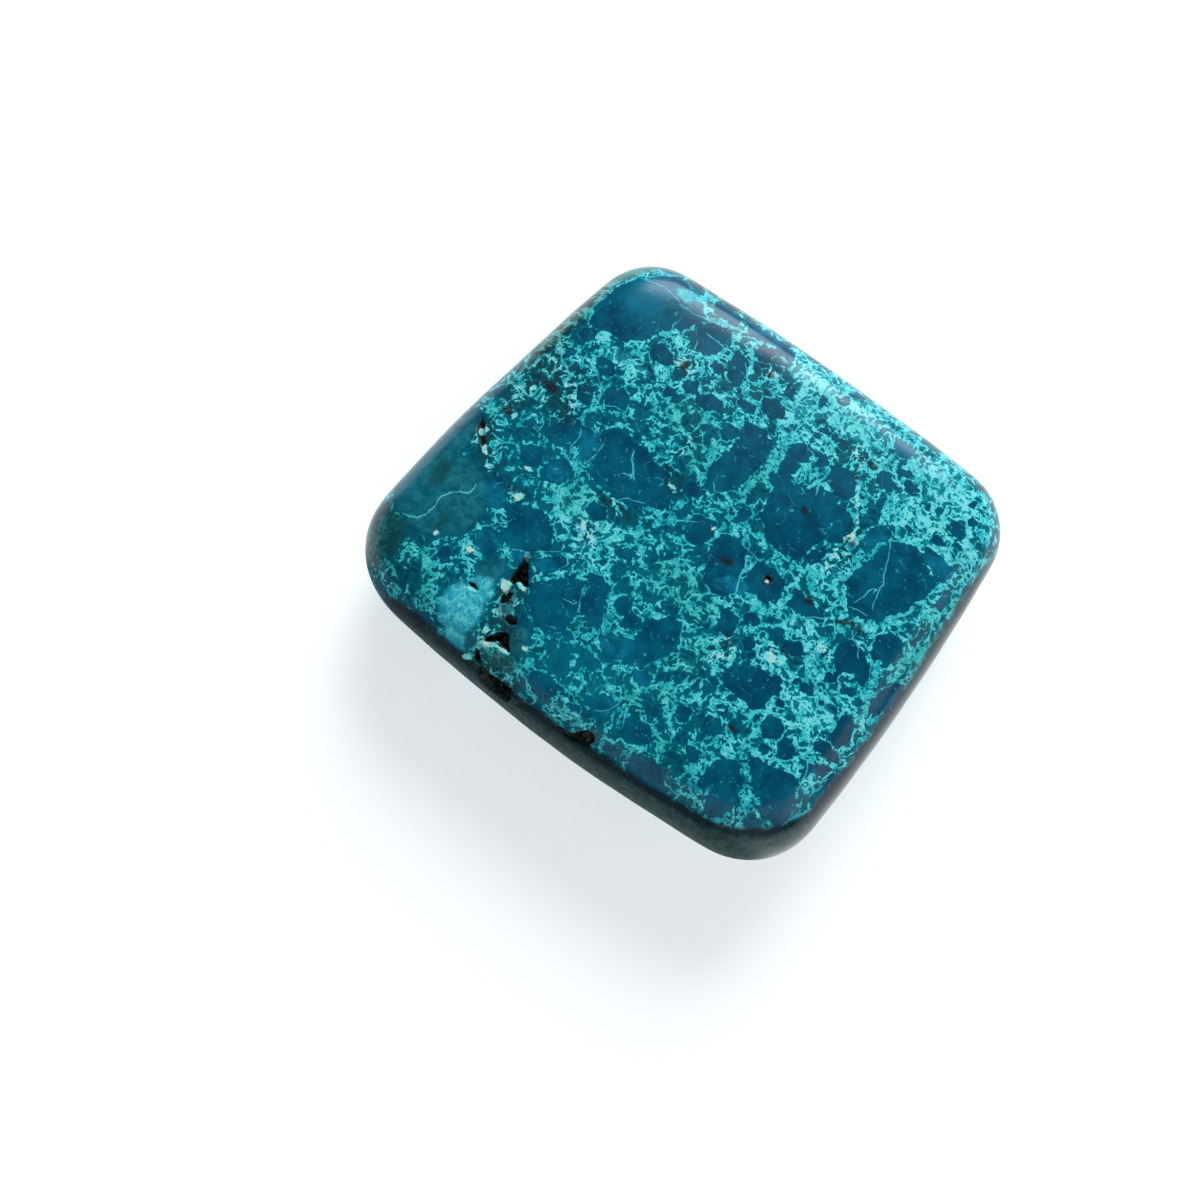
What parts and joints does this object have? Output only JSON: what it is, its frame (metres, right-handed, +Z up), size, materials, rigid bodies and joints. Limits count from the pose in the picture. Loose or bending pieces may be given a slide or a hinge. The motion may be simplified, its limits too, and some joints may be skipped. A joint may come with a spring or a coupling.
{
  "type": "polished chrysocolla stone",
  "caption": "Tumbled and polished chrysocolla: a pillow-shaped stone, nearly square, with a gently crowned top, rounded sides and a flat underside to rest on.",
  "frame": {"origin": "under the middle of the stone, on the plane that it rests on", "axes": "+X along the stone's longer side, +Z up through its thickness"},
  "size_m": [0.0306, 0.0274, 0.009],
  "materials": {
    "chrysocolla": "polished, blue and turquoise mottled, with brown specks and a few small pits"
  },
  "bodies": {
    "root": {"stone": "chrysocolla"}
  },
  "joints": []
}
